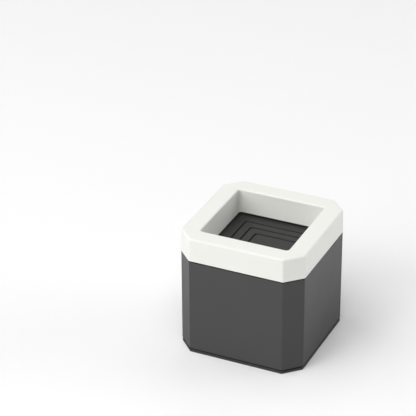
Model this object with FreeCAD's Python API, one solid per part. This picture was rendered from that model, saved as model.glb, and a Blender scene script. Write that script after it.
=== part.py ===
import FreeCAD, Part
import math
import os

# Bed riser: a square block with cut corners that lifts one leg of a bed.
# A hollow moulded body carries the load on its walls and a grid of ribs. A white collar snaps
# onto a spigot round the body's top, and its walls make the recess that keeps the leg in place.
# A grooved rubber pad lies in a well in the body's top, and a rubber base pad closes it below.
# Millimetres, +Z up, origin on the floor under the middle.

# Body
body_width = 120.0          # across the flats
body_height = 92.2          # from the base pad up to the seam under the collar
corner_cut = 14.7           # leg of the 45 degree cut at each upright corner
body_wall = 3.0             # at the open foot
body_edge_radius = 1.6      # upright edges
body_foot_radius = 0.6      # edge that meets the base pad
deck_thickness = 4.0        # top deck, and the tub round the pad
rib_thickness = 1.8         # at the open foot
rib_pitch = 28.0
core_draft = 0.6            # what walls and ribs gain on each side of the core by the deck
gap_height = 1.2            # shadow gap round the top, under the collar
gap_depth = 1.0

# Spigot and snap beads that hold the collar
spigot_height = 7.0
spigot_thickness = 2.4
spigot_clearance = 0.2
bead_radius = 0.6
bead_length = 30.0
bead_rise = 4.0             # from the seam up to the bead's axis

# Collar
collar_height = 22.4
collar_overhang = 0.4       # past the body on every side, at the seam
collar_lean = 0.5           # how far each side leans in by the top
collar_wall = 2.8
collar_edge_radius = 2.6    # upright edges
collar_rim_radius = 2.0     # outer top edge
collar_rib_thickness = 2.0

# Recess for the leg
rim_width = 17.2            # top of the collar, from its outside to the recess
recess_lean = 1.9           # how far each wall leans in by the seam
recess_corner_radius = 3.0
recess_rim_radius = 1.5
well_undercut = 1.5         # how far the well in the body reaches under each wall of the recess

# Leg pad
pad_thickness = 3.0
pad_drop = 1.4              # from the seam down to the pad's top
pad_clearance = 0.3
pad_edge_radius = 0.5
groove_margin = 12.9        # from the pad's left and back edges to the middle of the first groove
groove_pitch = 8.7
near_margin = 5.2           # the same at its right and front edges, where the grooves lie closer
near_pitch = 4.2
groove_width = 2.0
groove_foot_width = 1.2
groove_depth = 1.2
groove_corner_radius = 3.0  # of the grooves in both pads, at their middle line
plain_centre = 36.0         # square that no groove enters

# Base pad
base_thickness = 3.8
base_inset = 0.2            # behind the body's sides
base_edge_radius = 0.7
neck_height = 1.2           # narrower top of the pad, which leaves a dark line under the body
neck_inset = 1.2
tread_margin = 12.0         # from the pad's edge to the middle of the first tread groove
tread_pitch = 12.0
tread_width = 3.0
tread_foot_width = 2.0
tread_depth = 1.2
tread_centre = 30.0         # square in the middle that no tread groove enters

# Heights and widths that follow
seam_z = base_thickness + body_height
top_z = seam_z + collar_height
pad_top_z = seam_z - pad_drop
well_floor_z = pad_top_z - pad_thickness
collar_foot_width = body_width + 2 * collar_overhang
collar_top_width = collar_foot_width - 2 * collar_lean
recess_mouth_width = collar_top_width - 2 * rim_width
recess_foot_width = recess_mouth_width - 2 * recess_lean
well_width = recess_foot_width + 2 * well_undercut
well_corner_radius = recess_corner_radius + well_undercut

UP = FreeCAD.Vector(0, 0, 1)
NEAR = 1e-6
CUT_INSET = 2 - math.sqrt(2)    # what a 45 degree cut loses for each unit that its outline moves in


def square_corners(width, z):
    """Corners of a square, anticlockwise from above."""
    half = width / 2
    places = [(half, -half), (half, half), (-half, half), (-half, -half)]
    return [FreeCAD.Vector(x, y, z) for x, y in places]


def cut_corners(width, cut, z):
    """Corners of a square whose own corners are cut at 45 degrees, anticlockwise from above."""
    half = width / 2
    flat = half - cut
    side = [FreeCAD.Vector(half, -flat, z), FreeCAD.Vector(half, flat, z)]
    corners = []
    for turn in range(4):
        spin = FreeCAD.Rotation(UP, 90 * turn)
        corners += [spin.multVec(corner) for corner in side]
    return corners


def polygon(corners):
    return Part.Face(Part.makePolygon(corners + corners[:1]))


def block(lower, upper):
    """Solid between two like polygons at different heights, with flat sides."""
    sides = []
    for corner in range(len(lower)):
        after = (corner + 1) % len(lower)
        sides.append(polygon([lower[corner], lower[after], upper[after], upper[corner]]))
    shell = Part.makeShell(sides + [polygon(lower), polygon(upper)])
    return Part.makeSolid(shell)


def rounded_square_outline(width, radius, z):
    """Square outline with its four corners rounded."""
    half = width / 2
    flat = half - radius
    edges = []
    for turn in range(4):
        spin = FreeCAD.Rotation(UP, 90 * turn)
        side_start = spin.multVec(FreeCAD.Vector(half, -flat, z))
        side_end = spin.multVec(FreeCAD.Vector(half, flat, z))
        bend = radius * math.sqrt(0.5)
        middle = spin.multVec(FreeCAD.Vector(flat + bend, flat + bend, z))
        next_start = spin.multVec(FreeCAD.Vector(flat, half, z))
        edges.append(Part.LineSegment(side_start, side_end).toShape())
        edges.append(Part.Arc(side_end, middle, next_start).toShape())
    return Part.Wire(edges)


def body_corners(inset, z):
    """Corners of the body's outline, moved in by an inset."""
    return cut_corners(body_width - 2 * inset, corner_cut - inset * CUT_INSET, z)


def collar_corners(inset, z):
    """Corners of the collar's outline at a height, moved in by an inset. It leans in towards the top."""
    lean = collar_lean * (z - seam_z) / collar_height
    return body_corners(inset + lean - collar_overhang, z)


def collar_block(inset, low_z, high_z):
    return block(collar_corners(inset, low_z), collar_corners(inset, high_z))


def tub_prism(inset, low_z, height):
    """Upright block with the outline of the well that holds the pad, moved in by an inset."""
    outline = rounded_square_outline(well_width - 2 * inset, well_corner_radius - inset, low_z)
    return Part.Face(outline).extrude(UP * height)


def loft(lower, upper):
    return Part.makeLoft([lower, upper], True, True)


def upright_edges(shape):
    return [edge for edge in shape.Edges if edge.BoundBox.ZLength > NEAR]


def level_edges(shape, z):
    """Edges that lie in the level plane at a height."""
    level = []
    for edge in shape.Edges:
        box = edge.BoundBox
        if abs(box.ZMin - z) < NEAR and abs(box.ZMax - z) < NEAR:
            level.append(edge)
    return level


def farthest_side(edge):
    """How far an edge's middle lies from the centre planes, along X or Y, whichever is more."""
    middle = edge.CenterOfMass
    return max(abs(middle.x), abs(middle.y))


def spread(pitch, reach):
    """Evenly spaced places either side of the middle, out to a reach."""
    steps = math.floor(reach / pitch)
    return [pitch * step for step in range(-steps, steps + 1)]


def ring_widths(width, margin, pitch, plain_width):
    """Widths of nested square rings, from a margin inside an edge to a plain square that they enclose."""
    outermost = width - 2 * margin
    steps = math.floor((outermost - plain_width) / (2 * pitch))
    return [outermost - 2 * pitch * step for step in range(steps + 1)]


def snap_beads(growth):
    """Bars along the middle of the spigot's sides, grown all over by a clearance."""
    face = min(corner.y for corner in collar_corners(collar_wall + spigot_clearance, seam_z + bead_rise))
    length = bead_length + 2 * growth
    start = FreeCAD.Vector(-length / 2, face, seam_z + bead_rise)
    bar = Part.makeCylinder(bead_radius + growth, length, start, FreeCAD.Vector(1, 0, 0))
    return [bar.rotated(FreeCAD.Vector(), UP, 90 * turn) for turn in range(4)]


def body_ribs():
    """Crossing ribs, each as long and as tall as the body and thicker towards the deck."""
    foot = rib_thickness / 2
    head = foot + core_draft
    section = [(-foot, base_thickness), (foot, base_thickness), (head, seam_z), (-head, seam_z)]
    ribs = []
    for place in spread(rib_pitch, body_width / 2 - body_wall - rib_pitch / 2):
        end = polygon([FreeCAD.Vector(place + x, -body_width / 2, z) for x, z in section])
        rib = end.extrude(FreeCAD.Vector(0, body_width, 0))
        ribs.append(rib)
        ribs.append(rib.rotated(FreeCAD.Vector(), UP, 90))
    return ribs


def body_cavity():
    """The hollow under the deck: open below, stepped round the tub and divided by the ribs."""
    deck_z = seam_z - deck_thickness
    hollow = block(body_corners(body_wall, base_thickness), body_corners(body_wall + core_draft, deck_z))
    tub = tub_prism(-deck_thickness, well_floor_z - deck_thickness, body_height)
    return hollow.cut([tub] + body_ribs())


def spigot():
    """Wall round the body's top that stands inside the collar and leans as the collar does."""
    outer_gap = collar_wall + spigot_clearance
    inner_gap = outer_gap + spigot_thickness
    spigot_top = seam_z + spigot_height
    outside = collar_block(outer_gap, seam_z, spigot_top)
    return outside.cut(collar_block(inner_gap, seam_z, spigot_top))


def shadow_gap():
    """Step round the body's top, which leaves a dark line under the collar."""
    low_z = seam_z - gap_height
    outside = block(body_corners(-gap_depth, low_z), body_corners(-gap_depth, seam_z))
    return outside.cut(block(body_corners(gap_depth, low_z), body_corners(gap_depth, seam_z)))


def body():
    shell = block(body_corners(0, base_thickness), body_corners(0, seam_z))
    shell = shell.makeFillet(body_edge_radius, upright_edges(shell))
    shell = shell.makeFillet(body_foot_radius, level_edges(shell, base_thickness))
    well = tub_prism(0, well_floor_z, body_height)
    shell = shell.cut([body_cavity(), well, shadow_gap()])
    return shell.fuse([spigot()] + snap_beads(0)).removeSplitter()


def recess(outset):
    """The space for the leg, narrower towards the seam, with its walls moved out by an outset."""
    foot = square_corners(recess_foot_width + 2 * outset, seam_z)
    mouth = square_corners(recess_mouth_width + 2 * outset, top_z)
    space = block(foot, mouth)
    return space.makeFillet(recess_corner_radius + outset, upright_edges(space))


def collar_channel():
    """The hollow that opens at the seam, with a rib across the middle of each side."""
    outside = collar_block(collar_wall, seam_z, top_z - collar_wall)
    rib_foot = seam_z + spigot_height + spigot_clearance
    corner = FreeCAD.Vector(-collar_rib_thickness / 2, -body_width / 2, rib_foot)
    rib = Part.makeBox(collar_rib_thickness, body_width, collar_height, corner)
    return outside.cut([recess(collar_wall), rib, rib.rotated(FreeCAD.Vector(), UP, 90)])


def top_collar():
    ring = collar_block(0, seam_z, top_z)
    ring = ring.makeFillet(collar_edge_radius, upright_edges(ring))
    ring = ring.makeFillet(collar_rim_radius, level_edges(ring, top_z))
    ring = ring.cut(recess(0))
    half_mouth = recess_mouth_width / 2 + NEAR
    inner_rim = [edge for edge in level_edges(ring, top_z) if farthest_side(edge) < half_mouth]
    ring = ring.makeFillet(recess_rim_radius, inner_rim)
    return ring.cut([collar_channel()] + snap_beads(spigot_clearance))


def square_groove(width, mouth, foot):
    """Square groove with rounded corners. The width is across its middle line.

    Its mouth and its foot are each a height and the groove's own width there.
    """
    low, high = sorted([mouth, foot])

    def edge(side, level):
        z, opening = level
        shift = side * opening / 2
        return rounded_square_outline(width + 2 * shift, groove_corner_radius + shift, z)

    outside = loft(edge(1, low), edge(1, high))
    inside = loft(edge(-1, low), edge(-1, high))
    return outside.cut(inside)


def leg_pad():
    width = well_width - 2 * pad_clearance
    pad = tub_prism(pad_clearance, well_floor_z, pad_thickness)
    pad = pad.makeFillet(pad_edge_radius, level_edges(pad, pad_top_z))
    mouth = (pad_top_z, groove_width)
    foot = (pad_top_z - groove_depth, groove_foot_width)
    margin = (groove_margin + near_margin) / 2
    pitch = (groove_pitch + near_pitch) / 2
    grooves = []
    for step, ring in enumerate(ring_widths(width, margin, pitch, plain_centre)):
        shift = groove_margin - margin + step * (groove_pitch - pitch)
        grooves.append(square_groove(ring, mouth, foot).translated(FreeCAD.Vector(shift, -shift, 0)))
    return pad.cut(grooves)


def base_pad():
    width = body_width - 2 * base_inset
    neck_z = base_thickness - neck_height
    neck_in = base_inset + neck_inset
    pad = block(body_corners(base_inset, 0), body_corners(base_inset, neck_z))
    pad = pad.makeFillet(body_edge_radius - base_inset, upright_edges(pad))
    pad = pad.makeFillet(base_edge_radius, level_edges(pad, 0) + level_edges(pad, neck_z))
    pad = pad.fuse(block(body_corners(neck_in, neck_z), body_corners(neck_in, base_thickness)))
    mouth = (0, tread_width)
    foot = (tread_depth, tread_foot_width)
    rings = ring_widths(width, tread_margin, tread_pitch, tread_centre)
    return pad.cut([square_groove(ring, mouth, foot) for ring in rings])


os.makedirs("parts", exist_ok=True)
for make in (body, top_collar, leg_pad, base_pad):
    make().exportStep("parts/" + make.__name__ + ".step")
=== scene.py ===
import math

import bmesh
import bpy
from mathutils import Matrix, Vector


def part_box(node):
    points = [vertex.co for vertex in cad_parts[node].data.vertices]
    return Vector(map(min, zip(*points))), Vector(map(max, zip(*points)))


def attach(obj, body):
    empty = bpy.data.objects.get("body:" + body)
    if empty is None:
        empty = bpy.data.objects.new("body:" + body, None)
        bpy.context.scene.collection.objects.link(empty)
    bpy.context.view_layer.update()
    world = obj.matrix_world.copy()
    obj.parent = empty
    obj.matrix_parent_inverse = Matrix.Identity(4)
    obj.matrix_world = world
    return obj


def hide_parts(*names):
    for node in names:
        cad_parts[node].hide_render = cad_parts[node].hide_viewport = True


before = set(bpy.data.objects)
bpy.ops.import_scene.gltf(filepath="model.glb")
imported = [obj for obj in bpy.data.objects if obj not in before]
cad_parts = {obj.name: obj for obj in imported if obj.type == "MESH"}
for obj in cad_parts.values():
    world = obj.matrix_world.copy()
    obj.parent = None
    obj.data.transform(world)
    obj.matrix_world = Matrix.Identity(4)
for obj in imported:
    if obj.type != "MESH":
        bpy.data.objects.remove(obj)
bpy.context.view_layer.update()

# Looks of a bed riser: charcoal body, off-white collar, grooved rubber pad and rubber base.
# The body and the collar keep their solids and get their finishes here. The two rubber pads are
# modelled again with soft lips on every edge. Metres, in the frame of the solids.

MM = 0.001

# Both pads: how finely corners, edges and grooves' lips are rounded, how soft a lip is, and the
# angle past which an edge stays sharp
CORNER_STEPS = 8
EDGE_STEPS = 4
LIP_STEPS = 3
GROOVE_LIP = 0.3 * MM
SHARP_ANGLE = math.radians(50)

# Leg pad: its corners, its edge, and the square grooves nested in its face, which lie closer
# together at the near edges, on its right and front
PAD_CORNER = 4.2 * MM
PAD_EDGE = 0.6 * MM
PAD_GROOVES = {
    "count": 3,
    "margin": 12.9 * MM,
    "pitch": 8.7 * MM,
    "near_margin": 5.2 * MM,
    "near_pitch": 4.2 * MM,
    "width": 2.0 * MM,
    "foot_width": 1.2 * MM,
    "depth": 1.2 * MM,
    "corner": 3.0 * MM,
}

# Base pad: cut corners, edges, the narrower neck on its top, and the treads in its underside
BASE_CUT = 14.58 * MM
BASE_CORNER = 1.4 * MM
BASE_EDGE = 0.7 * MM
FOOT_EDGE = 0.35 * MM
NECK_HEIGHT = 1.2 * MM
NECK_INSET = 1.2 * MM
NECK_CUT = 13.88 * MM
NECK_CORNER = 0.4 * MM
BASE_TREADS = {
    "count": 3,
    "margin": 12.0 * MM,
    "pitch": 12.0 * MM,
    "near_margin": 12.0 * MM,
    "near_pitch": 12.0 * MM,
    "width": 3.0 * MM,
    "foot_width": 2.0 * MM,
    "depth": -1.2 * MM,
    "corner": 3.0 * MM,
}

# Plastics: the grain that both moulds share, the height of the seam under the collar, below which
# painted shade darkens the body towards the bottom, and where painted shade turns the step below
# the seam dark
PLASTIC_GRAIN = 0.45 * MM
SEAM_HEIGHT = 96 * MM
GAP_LOW = 94.70 * MM
GAP_HIGH = 94.79 * MM

# Leg pad's rubber: squares between which painted shade darkens its border, by their half widths,
# and depths between which painted shade darkens its grooves
BORDER_INNER = 29 * MM
BORDER_OUTER = 41 * MM
SHADE_START = 0.1 * MM
SHADE_END = 0.6 * MM

# Sockets of a Mix node that blends colours
MIX_FIRST = 6
MIX_SECOND = 7
MIX_RESULT = 2

# Studio: half the floor's side, the distances over which it fades, the lights' distance from the
# riser, and the brightness of the room behind
FLOOR_HALF = 2.5
FADE_START = 0.9
FADE_END = 2.4
LIGHT_DISTANCE = 4.0
ROOM_BRIGHTNESS = 0.94

# Photograph: image side, lens and where the riser's middle falls, in pixels
IMAGE_SIDE = 416
FOCAL_PIXELS = 1977.4
RISER_PIXEL = (262.95, 274.09)
VIEW_AZIMUTH = 23.217
VIEW_ELEVATION = 30.94
VIEW_ROLL = -0.561
VIEW_DISTANCE = 1.8061
RISER_MIDDLE = Vector((0, 0, 0.06))
SENSOR_WIDTH = 36.0


class Signal:
    """Output of one node of a finish. Arithmetic on signals adds Math nodes."""

    def __init__(self, finish, socket):
        self.finish = finish
        self.socket = socket

    def maths(self, operation, first, second):
        return self.finish.node("ShaderNodeMath", {"operation": operation}, {0: first, 1: second})

    def __add__(self, other):
        return self.maths("ADD", self, other)

    def __sub__(self, other):
        return self.maths("SUBTRACT", self, other)

    def __mul__(self, other):
        return self.maths("MULTIPLY", self, other)

    def __truediv__(self, other):
        return self.maths("DIVIDE", self, other)

    def __radd__(self, other):
        return self.maths("ADD", other, self)

    def __rsub__(self, other):
        return self.maths("SUBTRACT", other, self)

    def __rmul__(self, other):
        return self.maths("MULTIPLY", other, self)

    def __rtruediv__(self, other):
        return self.maths("DIVIDE", other, self)

    def __abs__(self):
        return self.maths("ABSOLUTE", self, 0.0)

    def at_least(self, other):
        return self.maths("MAXIMUM", self, other)


class Finish:
    """A material while it is made: any node comes from node(), and surface() ends it."""

    def __init__(self, name):
        self.material = bpy.data.materials.new(name)
        self.material.use_nodes = True
        self.tree = self.material.node_tree
        self.tree.nodes.clear()

    def node(self, kind, settings=None, inputs=None, output=0):
        """Add a node, with its settings and its sockets' values or links, and give one output."""
        made = self.tree.nodes.new(kind)
        for name, value in (settings or {}).items():
            setattr(made, name, value)
        for name, value in (inputs or {}).items():
            if isinstance(value, Signal):
                self.tree.links.new(value.socket, made.inputs[name])
            else:
                made.inputs[name].default_value = value
        return Signal(self, made.outputs[output]) if made.outputs else None

    def place(self):
        """Object coordinates, in metres."""
        return self.node("ShaderNodeTexCoord", output="Object")

    def noise(self, feature, detail=2.0, roughness=0.5):
        """Noise from 0 to 1 whose lumps are about as wide as the feature."""
        return self.node(
            "ShaderNodeTexNoise",
            {"noise_dimensions": "3D"},
            {"Vector": self.place(), "Scale": 1 / feature, "Detail": detail, "Roughness": roughness},
            output="Fac",
        )

    def along(self, axis):
        """Place along one axis."""
        return self.node("ShaderNodeSeparateXYZ", inputs={"Vector": self.place()}, output=axis)

    def height(self, low, high):
        """Share of the way up from a low to a high level, or down where the high one is lower."""
        return (self.along("Z") - low) / (high - low)

    def outward(self, inner, outer):
        """Share of the way from an inner to an outer square round the middle."""
        reach = abs(self.along("X")).at_least(abs(self.along("Y")))
        return (reach - inner) / (outer - inner)

    def between(self, first, second, mask):
        """Colour that goes from a first to a second one as a mask goes from 0 to 1."""
        return self.node(
            "ShaderNodeMix",
            {"data_type": "RGBA"},
            {"Factor": mask, MIX_FIRST: first, MIX_SECOND: second},
            output=MIX_RESULT,
        )

    def bump(self, height, depth, normal=None):
        """Normal of a surface whose height, from 0 to 1, stands for a depth."""
        inputs = {"Height": height, "Distance": depth, "Strength": 1.0}
        if normal:
            inputs["Normal"] = normal
        return self.node("ShaderNodeBump", inputs=inputs)

    def surface(self, **inputs):
        """End the material in a shader, whose sockets are named with _ for a space."""
        sockets = {name.replace("_", " "): value for name, value in inputs.items()}
        shader = self.node("ShaderNodeBsdfPrincipled", inputs=sockets)
        self.node("ShaderNodeOutputMaterial", inputs={"Surface": shader})
        return self.material


def grey(level):
    return (level, level, level, 1.0)


def charcoal_plastic():
    """Satin charcoal moulding: a fine spark-eroded grain over a faint flow of the melt.

    Painted shade darkens the step under the collar, and makes the body darker towards the bottom.
    """
    finish = Finish("charcoal_plastic")
    grain = finish.noise(PLASTIC_GRAIN, detail=3.0)
    flow = finish.noise(feature=26 * MM)
    up = finish.height(0.0, SEAM_HEIGHT)
    # Painted shade: up makes the body's colour darker towards the bottom.
    colour = finish.between(grey(0.056), grey(0.068), flow * 0.4 + grain * 0.3 + up * 0.3)
    # Painted shade: the step under the collar, from GAP_LOW up, turns nearly black.
    colour = finish.between(colour, grey(0.008), finish.height(GAP_LOW, GAP_HIGH))
    normal = finish.bump(flow, depth=0.25 * MM)
    normal = finish.bump(grain, depth=0.045 * MM, normal=normal)
    roughness = 0.50 - up * 0.17 + flow * 0.06 + grain * 0.05
    return finish.surface(Base_Color=colour, Roughness=roughness, Normal=normal, IOR=1.31)


def white_plastic():
    """Off-white satin moulding with the same grain."""
    finish = Finish("white_plastic")
    grain = finish.noise(PLASTIC_GRAIN, detail=3.0)
    flow = finish.noise(feature=30 * MM)
    dull_white = (0.83, 0.83, 0.79, 1.0)
    clean_white = (0.86, 0.86, 0.82, 1.0)
    colour = finish.between(dull_white, clean_white, flow * 0.7 + grain * 0.3)
    normal = finish.bump(flow, depth=0.2 * MM)
    normal = finish.bump(grain, depth=0.030 * MM, normal=normal)
    roughness = flow * 0.08 + grain * 0.06 + 0.44
    return finish.surface(Base_Color=colour, Roughness=roughness, Normal=normal, IOR=1.42)


def pad_rubber(top):
    """Matte black rubber with a fine stipple and a faint bloom of paler grey at random.

    Painted shade darkens its border, next to the walls of the well, and the beds of its grooves. The
    grooves go down from the height of the pad's top.
    """
    finish = Finish("pad_rubber")
    stipple = finish.noise(feature=0.7 * MM, detail=3.0, roughness=0.6)
    bloom = finish.noise(feature=9 * MM, detail=4.0)
    colour = finish.between(grey(0.017), grey(0.027), bloom * 0.6 + stipple * 0.4)
    # Painted shade: the pad's border, next to the walls of the well, turns darker.
    colour = finish.between(colour, grey(0.007), finish.outward(BORDER_INNER, BORDER_OUTER))
    # Painted shade: the beds of the grooves turn nearly black.
    colour = finish.between(colour, grey(0.002), finish.height(top - SHADE_START, top - SHADE_END))
    normal = finish.bump(stipple, depth=0.11 * MM)
    roughness = bloom * 0.12 + stipple * 0.1 + 0.42
    return finish.surface(Base_Color=colour, Roughness=roughness, Normal=normal, IOR=1.52)


def base_rubber():
    """Dark grey rubber of the base, a little rougher than the leg pad."""
    finish = Finish("base_rubber")
    stipple = finish.noise(feature=0.8 * MM, detail=3.0, roughness=0.6)
    bloom = finish.noise(feature=12 * MM, detail=4.0)
    colour = finish.between(grey(0.018), grey(0.027), bloom * 0.6 + stipple * 0.4)
    normal = finish.bump(stipple, depth=0.10 * MM)
    roughness = bloom * 0.1 + stipple * 0.1 + 0.5
    return finish.surface(Base_Color=colour, Roughness=roughness, Normal=normal, IOR=1.52)


def floor_paint():
    """Pale floor that fades into the pale room, far from the riser."""
    finish = Finish("floor_paint")
    cloud = finish.noise(feature=0.4)
    colour = finish.between(grey(0.94), grey(0.96), cloud)
    away = finish.node(
        "ShaderNodeVectorMath", {"operation": "LENGTH"}, {0: finish.place()}, output="Value"
    )
    cover = finish.node(
        "ShaderNodeMapRange",
        {"interpolation_type": "SMOOTHSTEP"},
        {"Value": away, "From Min": FADE_START, "From Max": FADE_END, "To Min": 1.0, "To Max": 0.0},
    )
    return finish.surface(Base_Color=colour, Roughness=0.6, Alpha=cover)


def square_loop(mesh, half, z, corner, cut=0.0, shift=0.0):
    """Edges of a level square with rounded corners, which are first cut at 45 degrees if need be.

    A shift moves the square to the right and to the front.
    """
    lift = Matrix.Translation((shift, -shift, z)) @ Matrix.Rotation(math.radians(45), 4, "Z")
    square = bmesh.ops.create_circle(
        mesh, cap_ends=True, segments=4, radius=half * math.sqrt(2), matrix=lift
    )
    corners = square["verts"]
    steps = CORNER_STEPS
    if cut:
        corners = trim_corners(mesh, corners, cut, 1)
        corner *= math.tan(math.pi / 8)
        steps = CORNER_STEPS // 2
    corners = trim_corners(mesh, corners, corner, steps)
    face = corners[0].link_faces[0]
    edges = list(face.edges)
    bmesh.ops.delete(mesh, geom=[face], context="FACES_ONLY")
    return edges


def trim_corners(mesh, corners, size, steps):
    """Cut or round the corners of a flat face, and give its new corners."""
    trimmed = bmesh.ops.bevel(
        mesh,
        geom=corners,
        offset=size,
        offset_type="OFFSET",
        segments=steps,
        profile=0.5,
        affect="VERTICES",
        material=-1,
    )
    return trimmed["verts"]


def soften(mesh, edges, size, steps):
    """Round the lips along some edges."""
    bmesh.ops.bevel(
        mesh,
        geom=edges,
        offset=size,
        offset_type="OFFSET",
        segments=steps,
        profile=0.5,
        affect="EDGES",
        material=-1,
    )


def skin(mesh, loops):
    """Join a row of loops into one closed skin, with a flat end on its first and last loop.

    Walls and level bands take turns along the row, a wall first. The level bands are bridged before
    the walls, because a bridge between two loops of one height may cross over once one has faces.
    """
    pairs = list(zip(loops, loops[1:]))
    for near, far in pairs[1::2] + pairs[0::2]:
        bmesh.ops.bridge_loops(mesh, edges=near + far)
    for end in (loops[0], loops[-1]):
        bmesh.ops.edgeloop_fill(mesh, edges=end)
    bmesh.ops.recalc_face_normals(mesh, faces=mesh.faces)


def square_grooves(mesh, half, level, shape):
    """Loops of the square grooves nested in a pad's face, and the edges that are their lips.

    The face has a half width and a height, and the grooves go into it by their depth, which is
    negative where they go up.
    """
    loops, lips = [], []
    bed_level = level - shape["depth"]
    for ring in range(shape["count"]):
        far = half - shape["margin"] - ring * shape["pitch"]
        near = half - shape["near_margin"] - ring * shape["near_pitch"]
        middle = (far + near) / 2
        shift = near - middle
        for side in (1, -1):
            mouth = side * shape["width"] / 2
            foot = side * shape["foot_width"] / 2
            lip = square_loop(mesh, middle + mouth, level, shape["corner"] + mouth, shift=shift)
            bed = square_loop(mesh, middle + foot, bed_level, shape["corner"] + foot, shift=shift)
            loops += [lip, bed][::side]
            lips += lip
    return loops, lips


def piece_from(mesh, name, finish):
    """Smooth piece from a closed mesh, whose flats stay flat beside its rounded edges."""
    data = bpy.data.meshes.new(name)
    mesh.to_mesh(data)
    mesh.free()
    data.shade_smooth()
    data.set_sharp_from_angle(angle=SHARP_ANGLE)
    data.materials.append(finish)
    piece = bpy.data.objects.new(name, data)
    bpy.context.scene.collection.objects.link(piece)
    flats = piece.modifiers.new("flats_stay_flat", "WEIGHTED_NORMAL")
    flats.keep_sharp = True
    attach(piece, "root")
    return piece


def leg_pad():
    """Square pad in the well, with grooves nested in its face."""
    low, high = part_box("leg_pad")
    mesh = bmesh.new()
    foot = square_loop(mesh, high.x, low.z, PAD_CORNER)
    rim = square_loop(mesh, high.x, high.z, PAD_CORNER)
    grooves, lips = square_grooves(mesh, high.x, high.z, PAD_GROOVES)
    skin(mesh, [foot, rim] + grooves)
    soften(mesh, rim, PAD_EDGE, EDGE_STEPS)
    soften(mesh, lips, GROOVE_LIP, LIP_STEPS)
    piece = piece_from(mesh, "leg_pad_rubber", pad_rubber(high.z))
    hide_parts("leg_pad")


def base_pad():
    """Pad under the body, with a narrower neck on its top and treads in its underside."""
    low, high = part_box("base_pad")
    mesh = bmesh.new()
    neck_half = high.x - NECK_INSET
    brim_z = high.z - NECK_HEIGHT
    neck = [square_loop(mesh, neck_half, z, NECK_CORNER, NECK_CUT) for z in (high.z, brim_z)]
    rim = square_loop(mesh, high.x, brim_z, BASE_CORNER, BASE_CUT)
    foot = square_loop(mesh, high.x, low.z, BASE_CORNER, BASE_CUT)
    treads, lips = square_grooves(mesh, high.x, low.z, BASE_TREADS)
    skin(mesh, neck + [rim, foot] + treads)
    soften(mesh, rim, BASE_EDGE, EDGE_STEPS)
    soften(mesh, foot, FOOT_EDGE, EDGE_STEPS)
    soften(mesh, lips, GROOVE_LIP, LIP_STEPS)
    piece = piece_from(mesh, "base_pad_rubber", base_rubber())
    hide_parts("base_pad")


def mouldings():
    """The body and the collar keep their solids and get their finishes."""
    for node, finish in (("body", charcoal_plastic()), ("top_collar", white_plastic())):
        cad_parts[node].data.materials[0] = finish


def floor():
    """Plain pale floor under the riser."""
    mesh = bmesh.new()
    bmesh.ops.create_grid(mesh, x_segments=1, y_segments=1, size=FLOOR_HALF)
    data = bpy.data.meshes.new("floor")
    mesh.to_mesh(data)
    mesh.free()
    data.materials.append(floor_paint())
    plane = bpy.data.objects.new("floor", data)
    bpy.context.scene.collection.objects.link(plane)


def direction(azimuth, elevation):
    """Way out from the riser, by angles in degrees. Azimuth 0 is in front, positive to the right."""
    turn = math.radians(azimuth)
    rise = math.radians(elevation)
    level = math.cos(rise)
    return Vector((math.sin(turn) * level, -math.cos(turn) * level, math.sin(rise)))


def softbox(name, azimuth, elevation, side, power):
    """Square soft light that faces the riser."""
    away = direction(azimuth, elevation)
    data = bpy.data.lights.new(name, "AREA")
    data.size = side
    data.energy = power
    light = bpy.data.objects.new(name, data)
    light.location = RISER_MIDDLE + away * LIGHT_DISTANCE
    light.rotation_euler = away.to_track_quat("Z", "Y").to_euler()
    bpy.context.scene.collection.objects.link(light)


def studio():
    """Pale room, which shows behind the riser and doesn't light it, and the soft lights that do."""
    world = bpy.data.worlds.new("white_room")
    world.use_nodes = True
    sky = world.node_tree.nodes["Background"]
    sky.inputs["Color"].default_value = (1, 1, 1, 1)
    sky.inputs["Strength"].default_value = ROOM_BRIGHTNESS
    world.cycles_visibility.diffuse = False
    world.cycles_visibility.glossy = False
    bpy.context.scene.world = world
    softbox("key_light", azimuth=-34, elevation=28, side=3.0, power=72)
    softbox("front_light", azimuth=3, elevation=62, side=3.6, power=108)
    softbox("left_light", azimuth=-90, elevation=50, side=3.0, power=46)
    softbox("back_light", azimuth=180, elevation=50, side=3.5, power=38)
    softbox("right_light", azimuth=120, elevation=14, side=2.6, power=66)
    bpy.context.scene.view_settings.view_transform = "Standard"


def photo_camera():
    """Camera that puts the riser where the photograph shows it."""
    back = direction(VIEW_AZIMUTH, VIEW_ELEVATION)
    across = RISER_PIXEL[0] - IMAGE_SIDE / 2
    down = RISER_PIXEL[1] - IMAGE_SIDE / 2
    aim = (
        back.to_track_quat("Z", "Y").to_matrix()
        @ Matrix.Rotation(math.atan2(across, FOCAL_PIXELS), 3, "Y")
        @ Matrix.Rotation(math.atan2(down, math.hypot(FOCAL_PIXELS, across)), 3, "X")
        @ Matrix.Rotation(math.radians(-VIEW_ROLL), 3, "Z")
    )
    data = bpy.data.cameras.new("photo_camera")
    data.sensor_width = SENSOR_WIDTH
    data.lens = FOCAL_PIXELS * SENSOR_WIDTH / IMAGE_SIDE
    camera = bpy.data.objects.new("photo_camera", data)
    camera.location = RISER_MIDDLE + back * VIEW_DISTANCE
    camera.rotation_euler = aim.to_euler()
    bpy.context.scene.collection.objects.link(camera)
    bpy.context.scene.camera = camera


mouldings()
leg_pad()
base_pad()
floor()
studio()
photo_camera()
